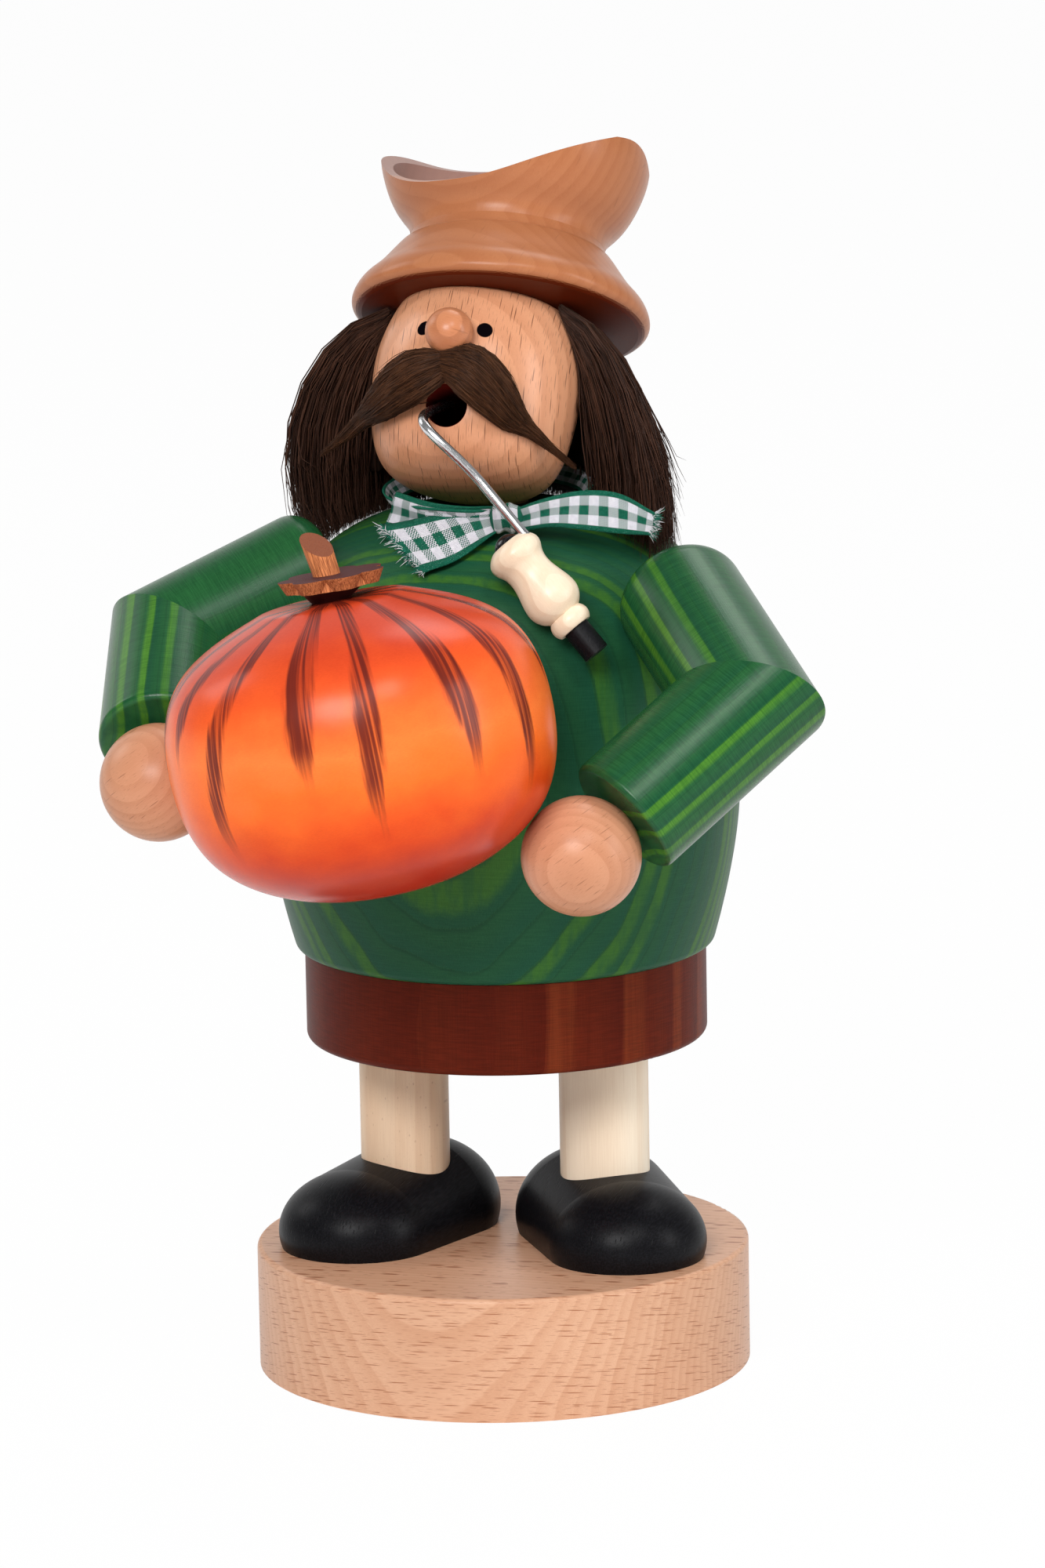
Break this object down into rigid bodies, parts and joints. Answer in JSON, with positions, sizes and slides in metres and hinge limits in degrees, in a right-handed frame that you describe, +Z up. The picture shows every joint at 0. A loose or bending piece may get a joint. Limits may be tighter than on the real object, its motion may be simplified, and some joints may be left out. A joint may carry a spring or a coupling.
{
  "type": "incense smoker",
  "caption": "Turned wooden incense smoker: a figure in a hat with a pipe that holds a pumpkin, standing on a disc; its hollow upper half lifts off for the cone.",
  "frame": {"origin": "centre of the disc's underside, on the shelf", "axes": "+Z up; the figure's chest and pumpkin face -Y; +X is towards the figure's left hand"},
  "size_m": [0.1198, 0.136, 0.1986],
  "materials": {
    "beech": "satin clear lacquer, short dark flecks",
    "hat_wood": "satin clear lacquer, fine grain",
    "maple": "satin, pale and fine",
    "green_stain": "satin lacquer over green stain, grain shows",
    "red_stain": "satin lacquer over red-brown stain",
    "brown_stain": "matt brown stain",
    "orange_lacquer": "glossy orange lacquer with dark streaks",
    "black_paint": "satin black paint on wood",
    "black_gloss": "glossy black",
    "wire_steel": "bright drawn wire",
    "plate_steel": "plain sheet",
    "fur": "dark brown fur, soft and fine",
    "checked_cloth": "green and white checked woven ribbon"
  },
  "bodies": {
    "lower": {"base_disc": "beech", "right_shoe": "black_paint", "left_shoe": "black_paint", "right_leg": "maple", "left_leg": "maple", "trousers": "red_stain", "cone_plate": "plate_steel", "plate_nails": "wire_steel"},
    "upper": {"jacket": "green_stain", "right_upper_arm": "green_stain", "left_upper_arm": "green_stain", "right_forearm": "green_stain", "left_forearm": "green_stain", "right_hand": "beech", "left_hand": "beech", "shoulder_dowels": "beech", "elbow_dowels": "beech", "wrist_dowels": "beech", "pumpkin": "orange_lacquer", "pumpkin_leaf": "brown_stain", "pumpkin_stem": "brown_stain", "pumpkin_dowel": "beech", "neck_tube": "beech", "head": "beech", "nose": "beech", "moustache": "fur", "hair": "fur", "neck_ribbon": "checked_cloth", "hat": "hat_wood", "hat_dowel": "beech"},
    "pipe": {"pipe_stem": "wire_steel", "pipe_bowl": "maple", "pipe_cap": "black_gloss", "pipe_foot": "black_paint"}
  },
  "joints": [
    {"name": "upper_lift", "type": "slide", "parent": "lower", "child": "upper", "axis": [0, 0, 1], "range_m": [0, 0.045]},
    {"name": "pipe_turn", "type": "hinge", "parent": "upper", "child": "pipe", "pos_m": [-0.0009, -0.01, 0.1588], "axis": [0, -1, 0], "range_deg": [0, 40]}
  ]
}
